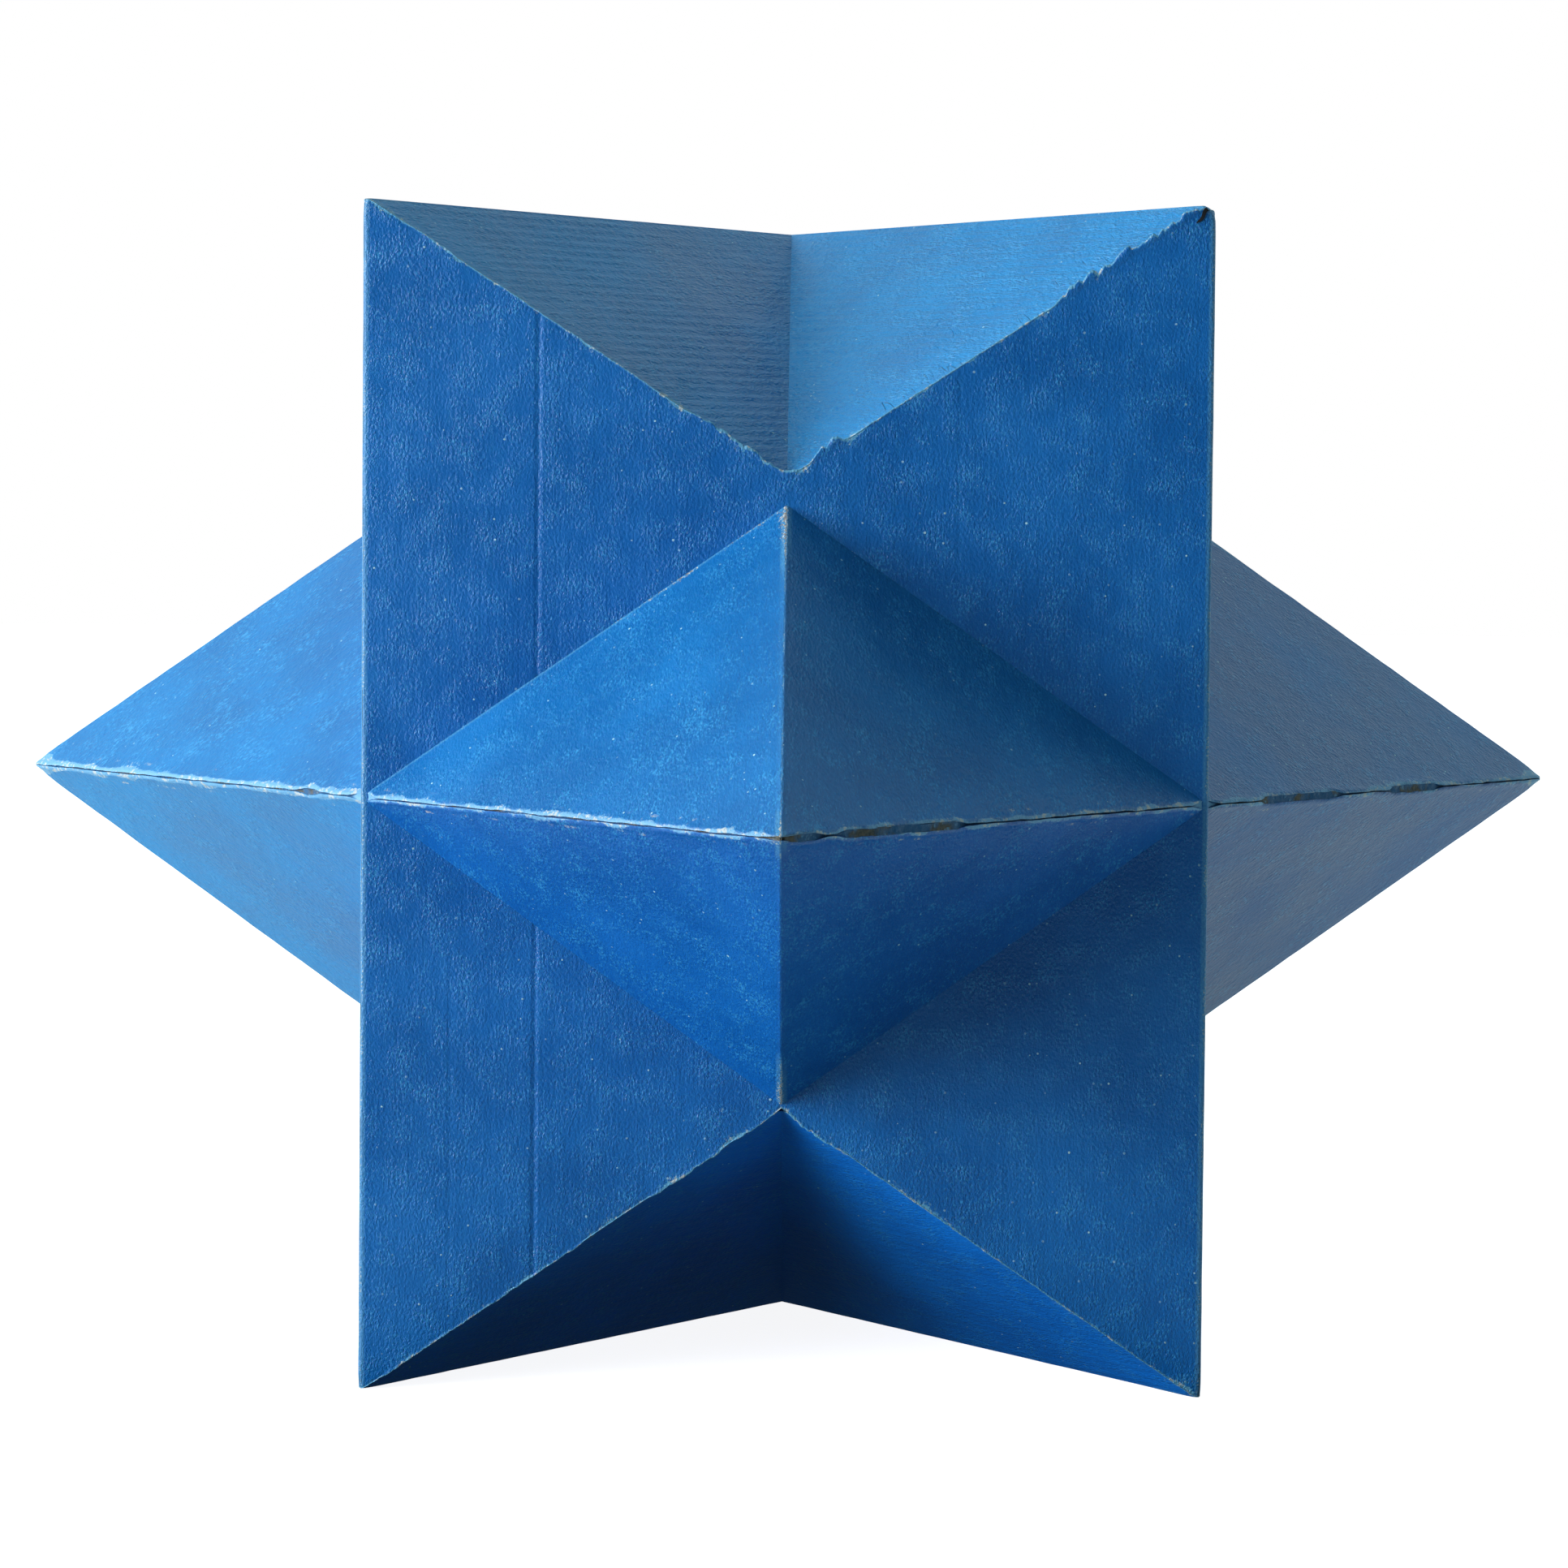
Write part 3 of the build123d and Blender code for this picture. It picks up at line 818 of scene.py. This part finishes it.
def painted_card(name, green=1.0, value=1.0, stipple=1.0, grain=1.0, slant=0.5, creases=0.0):
    """Blue paint on fluted card: stippled, uneven, and worn through at folds and cut edges.

    green and value scale the paint's green and its brightness: the pieces use them for lit and
    shaded copies of one paint, which is painted light, shade and sheen. stipple is the height of its
    stipple and grain the size, and slant below 1 draws it out along the flutes. creases is the depth
    of the paper's wrinkles.
    wear, fold, seam and lip are the shells' marks: distances in mm, and how bare a fold is, which also
    sets how strong its painted highlight is.
    """
    material, n = new_material(name)
    where = n.add("ShaderNodeAttribute", attribute_name="sheet").outputs["Vector"]
    fold, seam, lip, wear = (n.mark(mark) for mark in MARKS)
    along = (slant, 1.0, 1.0)
    # paint and deep_paint, tinted by green and value, are this piece's lit or shaded copy: painted
    # light, shade and sheen
    paint, deep_paint = tinted(PAINT, green, value), tinted(DEEP_PAINT, green, value)

    # Paint: cloudy, with faint streaks along the flutes, and darker in the pits of the stipple
    clouds = n.noise(where, 40 * MM, 3, 0.55)
    streaks = n.noise(where, 2.6 * MM, 2, 0.5, (0.4, 1.0, 1.0))
    pits = n.noise(where, 0.70 * MM * grain, 2, 0.6, along)
    grit = n.noise(where, 0.55 * MM, 2, 0.6)
    blotches = n.noise(where, 7 * MM, 2, 0.5)
    colour = n.mix(n.ramp(clouds, 0.3, 0.7), deep_paint, paint)
    colour = n.mix(n.ramp(streaks, 0.5, 0.8, 0, 0.10), colour, PALE_PAINT)
    colour = n.mix(n.ramp(pits, 0.48, 0.25, 0, 0.55), colour, tinted(deep_paint, 0.75))
    dabs = n.maths("MULTIPLY_ADD", blotches, 0.45, pits)
    colour = n.mix(n.ramp(dabs, 0.76, 0.98, 0, 0.6), colour, PALE_PAINT)

    # Dust specks
    cells = n.add("ShaderNodeTexVoronoi", {"Vector": where, "Scale": 1 / DUST_SPACING})
    chosen = n.add("ShaderNodeSeparateColor", {"Color": cells.outputs["Color"]})
    size = n.ramp(chosen.outputs[0], 0.50, 1.0, 0.03, 0.14)
    speck = n.ramp(n.maths("SUBTRACT", cells.outputs["Distance"], size), 0.0, -0.03)
    speck = n.times(speck, n.ramp(chosen.outputs[1], 0.2, 1.0, 0.3, 1.0))
    colour = n.mix(speck, colour, DUST)

    # Wear at the folds: a ragged pale band, with bare paper and brown card in it, and a painted
    # highlight on the rounding
    patchy = n.noise(where, 13 * MM, 3, 0.6)
    band = n.times(n.ramp(patchy, 0.32, 0.68, 0.5, 3.4), wear)
    depth = n.maths("SUBTRACT", 1.0, n.maths("DIVIDE", fold, n.most(band, 0.05)))
    depth = n.most(depth, -1.0)
    blend = n.maths("MULTIPLY_ADD", grit, 1.6, depth)
    broken = n.ramp(band, 0.12, 0.42)
    colour = n.mix(n.times(n.ramp(blend, 0.75, 1.5, 0, 0.55), broken), colour, PALE_PAINT)
    # A pale cyan band within about 1.2 mm of a fold is painted highlight on its rounding, stronger
    # where the fold is worn
    rounded = n.times(
        n.ramp(fold, 1.9, 1.2), n.ramp(wear, 0.1, 0.3, 0.0, 0.42), n.ramp(grit, 0.35, 0.6, 0.45, 1.0)
    )
    colour = n.mix(rounded, colour, LIP_PAINT_AND_FOLD_HIGHLIGHT)
    in_band = n.times(n.ramp(depth, -0.15, 0.1), broken)
    bare_fold = n.ramp(n.maths("MULTIPLY_ADD", depth, 0.16, grit), 0.60, 0.68)
    bare_fold = n.times(bare_fold, in_band, n.ramp(wear, 0.1, 0.6, 0.3, 1.0))
    brown_fold = n.noise(where, 1.0 * MM, 2, 0.6)
    brown_fold = n.ramp(n.maths("MULTIPLY_ADD", depth, 0.22, brown_fold), 0.62, 0.72)
    brown_fold = n.times(brown_fold, in_band, n.ramp(wear, 0.2, 0.9, 0.1, 0.8))

    # Torn notch edges and seams: a pale rim, frayed patches behind it, and bare paper in places
    patches = n.noise(where, 10 * MM, 2, 0.6)
    fibres = n.noise(where, 0.7 * MM, 2, 0.65)
    width = n.ramp(patches, 0.48, 0.70, -0.8, -2.4)
    lip_rim = n.ramp(n.maths("MULTIPLY_ADD", fibres, width, lip), 0.15, -0.25)
    lip_fray = n.ramp(n.maths("MULTIPLY_ADD", patches, -11.0, lip), -3.6, -6.6)
    lip_fray = n.times(lip_fray, n.ramp(fibres, 0.50, 0.66, 0, 0.75))
    seam_width = n.ramp(patches, 0.36, 0.68, -0.3, -3.0)
    seam_rim = n.ramp(n.maths("MULTIPLY_ADD", fibres, seam_width, seam), 0.35, -0.30)
    seam_fray = n.ramp(n.maths("MULTIPLY_ADD", patches, -11.0, seam), -3.0, -6.0)
    seam_fray = n.times(seam_fray, n.ramp(fibres, 0.52, 0.66, 0, 0.7))
    pale_lip = n.most(lip_rim, lip_fray)
    pale_seam = n.most(seam_rim, seam_fray)
    pale = n.most(pale_lip, pale_seam)
    colour = n.mix(n.times(pale_lip, 0.85), colour, LIP_PAINT_AND_FOLD_HIGHLIGHT)
    colour = n.mix(n.times(pale_seam, 0.9), colour, SEAM_PAINT)
    chips = n.noise(where, 2.0 * MM, 2, 0.65)
    bare_rim = n.times(pale, n.ramp(chips, 0.53, 0.64, 0, 0.9))
    # Beside the seams runs a second, broken line of bare flecks, where the paper is scored
    beside = n.maths("ABSOLUTE", n.maths("SUBTRACT", seam, SCORE_DISTANCE))
    flecks = n.ramp(n.noise(where, 4 * MM, 3, 0.6), 0.50, 0.60)
    scored = n.times(n.ramp(beside, 0.6, 0.2), flecks, n.ramp(fibres, 0.40, 0.55, 0, 0.8))
    scored = n.times(scored, n.ramp(patchy, 0.52, 0.62))
    bare = n.most(bare_rim, bare_fold, scored)
    colour = n.mix(n.times(bare, 0.8), colour, BARE_PAPER)
    colour = n.mix(brown_fold, colour, BROWN_CARD)
    # Raw edge of the board, behind the edge of the paper
    raw = n.ramp(lip, -0.9, -1.8)
    colour = n.mix(raw, colour, n.mix(n.ramp(fibres, 0.45, 0.65), DEEP_PAINT, BROWN_CARD))

    # Relief: the stipple of the thick paint, wrinkles near the notch, and a step where it has worn off
    peel = n.noise(where, 0.86 * MM * grain, 2, 0.62, along)
    relief = n.times(peel, n.ramp(blotches, 0.3, 0.7, 0.7, 1.3))
    aslant = n.add("ShaderNodeMapping", {"Vector": where, "Rotation": (0.0, 0.0, 0.62)}).outputs[0]
    swell = n.noise(aslant, 3.2 * MM, 1, 0.5, (0.13, 1.0, 1.0))
    from_crest = n.maths("ABSOLUTE", n.maths("SUBTRACT", swell, 0.5))
    wrinkles = n.times(
        n.ramp(from_crest, 0.035, 0.0), n.ramp(patchy, 0.56, 0.68), n.ramp(lip, 24.0, 12.0)
    )
    relief = n.maths("MULTIPLY_ADD", wrinkles, -creases, relief)
    worn = n.most(bare, brown_fold, n.times(pale, 0.6))
    relief = n.maths("MULTIPLY_ADD", worn, n.maths("MULTIPLY_ADD", fibres, 1.2, -0.8), relief)
    relief = n.maths("MULTIPLY_ADD", speck, 0.3, relief)
    bump = n.add("ShaderNodeBump", {"Strength": 1.0, "Distance": 0.26 * MM * stipple, "Height": relief})

    roughness = n.ramp(n.maths("MULTIPLY_ADD", pits, 0.5, clouds), 0.4, 1.2, 0.29, 0.48)
    dull = n.most(worn, speck, n.ramp(fold, 2.2, 0.9, 0.0, 0.6))
    roughness = n.most(roughness, n.times(dull, 0.85))
    shader = n.add(
        "ShaderNodeBsdfPrincipled",
        {"Base Color": colour, "Roughness": roughness, "Normal": bump.outputs[0], "IOR": 1.5},
    )
    n.show(shader, "ShaderNodeOutputMaterial")
    return material


def seam_glue(name):
    """Brown-grey glue and card fibres, under broken blue paint."""
    material, n = new_material(name)
    where = n.add("ShaderNodeTexCoord").outputs["Object"]
    grit = n.noise(where, 1.2 * MM, 3, 0.6)
    patchy = n.noise(where, 9 * MM, 3, 0.6)
    glue = n.mix(n.ramp(grit, 0.35, 0.70), (0.018, 0.034, 0.038), (0.13, 0.12, 0.09))
    colour = n.mix(n.ramp(patchy, 0.48, 0.60), (0.004, 0.10, 0.26), glue)
    colour = n.mix(n.ramp(n.noise(where, 2.5 * MM, 2, 0.6), 0.60, 0.70, 0, 0.5), colour, SEAM_PAINT)
    colour = n.mix(n.ramp(n.mark("seam"), 6.0, 3.0, 0, 0.9), colour, SEAM_PAINT)
    bump = n.add("ShaderNodeBump", {"Strength": 0.9, "Distance": 0.4 * MM, "Height": grit})
    roughness = n.ramp(grit, 0.3, 0.7, 0.45, 0.8)
    shader = n.add(
        "ShaderNodeBsdfPrincipled",
        {"Base Color": colour, "Roughness": roughness, "Normal": bump.outputs[0]},
    )
    n.show(shader, "ShaderNodeOutputMaterial")
    return material


# The pieces' paints are lit and shaded copies of one blue, with painted light in them: top ridges and
# the left point's lower half greener and brighter as painted sheen, upper halves and the left point's
# upper half greener as painted highlight, bottom ridges brighter as painted key light, lower halves
# less green and the right point's lower half darker as painted shade. The belt keeps nearly the plain
# blue.
BELT_PAINT = painted_card("belt_paint", 0.97, stipple=1.15, grain=0.8, slant=0.7)
RIDGE_LIT_PAINT = {
    "top": painted_card("top_ridge_lit_paint", 1.32, 1.18, stipple=2.2, grain=0.9, creases=0.55),
    "bottom": painted_card("bottom_ridge_lit_paint", 0.82, 1.7, stipple=0.9, grain=0.8),
}
POINT_LIT_PAINT = {
    "upper": painted_card("upper_point_lit_paint", 1.12, 0.95, stipple=1.2, grain=0.8, slant=0.6),
    "lower": painted_card("lower_point_lit_paint", 0.86, stipple=0.8, grain=0.8, slant=0.6),
    "left_upper": painted_card("left_upper_point_lit_paint", 1.22, 0.97, slant=0.6),
    "left_lower": painted_card("left_lower_point_lit_paint", 1.32, 1.2, slant=0.6),
    "right_lower": painted_card("right_lower_point_lit_paint", 0.95, 0.8, slant=0.6),
}
GLUE = seam_glue("seam_glue")
# Near-black material of the slit: painted shade where the split opens into the hollow star
PAINTED_SHADE = bpy.data.materials.new("painted_shade_opening")
PAINTED_SHADE.use_nodes = True
PAINTED_SHADE.node_tree.nodes["Principled BSDF"].inputs["Base Color"].default_value = (0.004, 0.006, 0.010, 1)
PAINTED_SHADE.node_tree.nodes["Principled BSDF"].inputs["Roughness"].default_value = 0.9

# The pieces

belt_shell().piece("card_belt", BELT_PAINT, "belt_card", "belt")
slit_shell().piece("painted_shade_slit_knocked_tip", PAINTED_SHADE, None, "belt")

for level, notch in (("top", UPPER_NOTCH), ("bottom", LOWER_NOTCH)):
    for turn, corner in enumerate(CORNERS):
        seed = 11 + 2 * turn + (20 if level == "top" else 40)
        shell = ridge_shell(notch, seed, RIDGE_RIBS[level])
        name = f"{level}_ridge_{corner}"
        shell.piece("card_" + name, RIDGE_LIT_PAINT[level], "ridge_card", name, turn, level == "bottom")

for level, apex in (("upper", UPPER_APEX), ("lower", LOWER_APEX)):
    for turn, quarter in enumerate(QUARTERS):
        shell = point_shell(quarter, level, apex, 61 + 2 * turn + (20 if level == "upper" else 40))
        name = f"{quarter}_point_{level}"
        paint = POINT_LIT_PAINT.get(f"{quarter}_{level}", POINT_LIT_PAINT[level])
        shell.piece("card_" + name, paint, "point_card", name, turn, level == "lower")

for turn, quarter in enumerate(QUARTERS):
    name = f"{quarter}_seam_glue"
    seam_shell(7.0 + turn).piece("bead_" + name, GLUE, "glue", name, turn, sharp=70)
    for level in ("top", "bottom"):
        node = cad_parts[f"{level}_{quarter}_valley_glue"]
        for slot in node.material_slots:
            slot.material = GLUE


# Camera: level with the star, a little above its centre, at the front

CAMERA_DISTANCE = 0.99388
CAMERA_YAW = radians(0.4407)
CAMERA_PITCH = radians(2.0749)
CAMERA_ROLL = radians(0.5102)
CAMERA_ACROSS = -0.0018
CAMERA_UP = 0.0352
CAMERA_SHIFT = (0.0023, -0.0886)
SENSOR = 36.0
LENS = 81.56

back = Vector(
    (sin(CAMERA_YAW) * cos(CAMERA_PITCH), -cos(CAMERA_YAW) * cos(CAMERA_PITCH), sin(CAMERA_PITCH))
)
level_right = Vector((cos(CAMERA_YAW), sin(CAMERA_YAW), 0))
level_up = back.cross(level_right)
right = level_right * cos(CAMERA_ROLL) + level_up * sin(CAMERA_ROLL)
up = level_up * cos(CAMERA_ROLL) - level_right * sin(CAMERA_ROLL)
camera = bpy.data.objects.new("camera", bpy.data.cameras.new("camera"))
bpy.context.collection.objects.link(camera)
camera.data.sensor_width = SENSOR
camera.data.lens = LENS
camera.data.shift_x, camera.data.shift_y = CAMERA_SHIFT
place = Vector((0, 0, MIDDLE)) + right * CAMERA_ACROSS + up * CAMERA_UP + back * CAMERA_DISTANCE
turn_matrix = Matrix((right, up, back)).transposed().to_4x4()
camera.matrix_world = Matrix.Translation(place) @ turn_matrix
bpy.context.scene.camera = camera


# Studio: pale floor, white surroundings, and a large soft light from the left like a window

def disc(name, radius, segments, drop, look):
    """A round plate of the stage, a drop below the star, with the given shader settings."""
    form = bmesh.new()
    bmesh.ops.create_circle(form, cap_ends=True, segments=segments, radius=radius)
    mesh = bpy.data.meshes.new(name)
    form.to_mesh(mesh)
    form.free()
    plate = bpy.data.objects.new(name, mesh)
    plate.location.z = cad_low.z - drop
    bpy.context.collection.objects.link(plate)
    material = bpy.data.materials.new(name)
    material.use_nodes = True
    shader = material.node_tree.nodes["Principled BSDF"]
    for socket, value in look.items():
        shader.inputs[socket].default_value = value
    mesh.materials.append(material)
    return plate


def studio_floor():
    """The pale floor: it is seen, and takes no part in the light on the star."""
    look = {
        "Base Color": (0.75, 0.75, 0.75, 1),
        "Roughness": 0.9,
        "Emission Color": (1, 1, 1, 1),
        "Emission Strength": 0.9,
    }
    plate = disc("floor", 6.0, 96, 0.1 * MM, look)
    plate.visible_diffuse = False
    plate.visible_glossy = False


def flag():
    """A dark table top under the floor: it keeps bright reflections off the star's underside."""
    look = {
        "Base Color": (0.02, 0.02, 0.02, 1),
        "Specular IOR Level": 0.0,
        "Emission Color": (0.5, 0.9, 1.0, 1),
        "Emission Strength": 0.04,
    }
    plate = disc("flag", 0.165, 64, 1 * MM, look)
    plate.visible_camera = False
    plate.visible_shadow = False


def soft_light(name, direction, distance, size, power):
    """A square area light that looks at the star from the given direction."""
    data = bpy.data.lights.new(name, "AREA")
    data.shape = "SQUARE"
    data.size = size
    data.energy = power
    lamp = bpy.data.objects.new(name, data)
    bpy.context.collection.objects.link(lamp)
    direction = Vector(direction).normalized()
    lamp.location = Vector((0, 0, MIDDLE)) + direction * distance
    lamp.rotation_mode = "QUATERNION"
    lamp.rotation_quaternion = direction.to_track_quat("Z", "Y")


def surroundings():
    """White to the eye. As light it is strongest from behind and above, and weak from below."""
    world = bpy.data.worlds.new("surroundings")
    bpy.context.scene.world = world
    world.use_nodes = True
    world.node_tree.nodes.clear()
    n = Nodes(world.node_tree)
    way = n.add("ShaderNodeTexCoord").outputs["Generated"]
    axes = n.add("ShaderNodeSeparateXYZ", {"Vector": way})
    behind = n.ramp(axes.outputs["Y"], -0.25, 0.5, 0.06, 0.9)
    overhead = n.ramp(axes.outputs["Z"], 0.2, 0.9, 0.0, 0.4)
    below = n.ramp(axes.outputs["Z"], 0.0, -0.5, 0.0, 0.5)
    lit = n.most(behind, overhead, below)
    seen = n.add("ShaderNodeLightPath").outputs["Is Camera Ray"]
    strength = n.most(seen, lit)
    colour = n.mix(seen, (0.80, 1.0, 0.99), (1.0, 1.0, 1.0))
    shine = n.add("ShaderNodeBackground", {"Color": colour, "Strength": strength})
    n.show(shine, "ShaderNodeOutputWorld")


studio_floor()
flag()
surroundings()
soft_light("window", (-0.90, -0.40, 0.22), 1.3, 0.9, 25)
bpy.context.scene.view_settings.view_transform = "Standard"
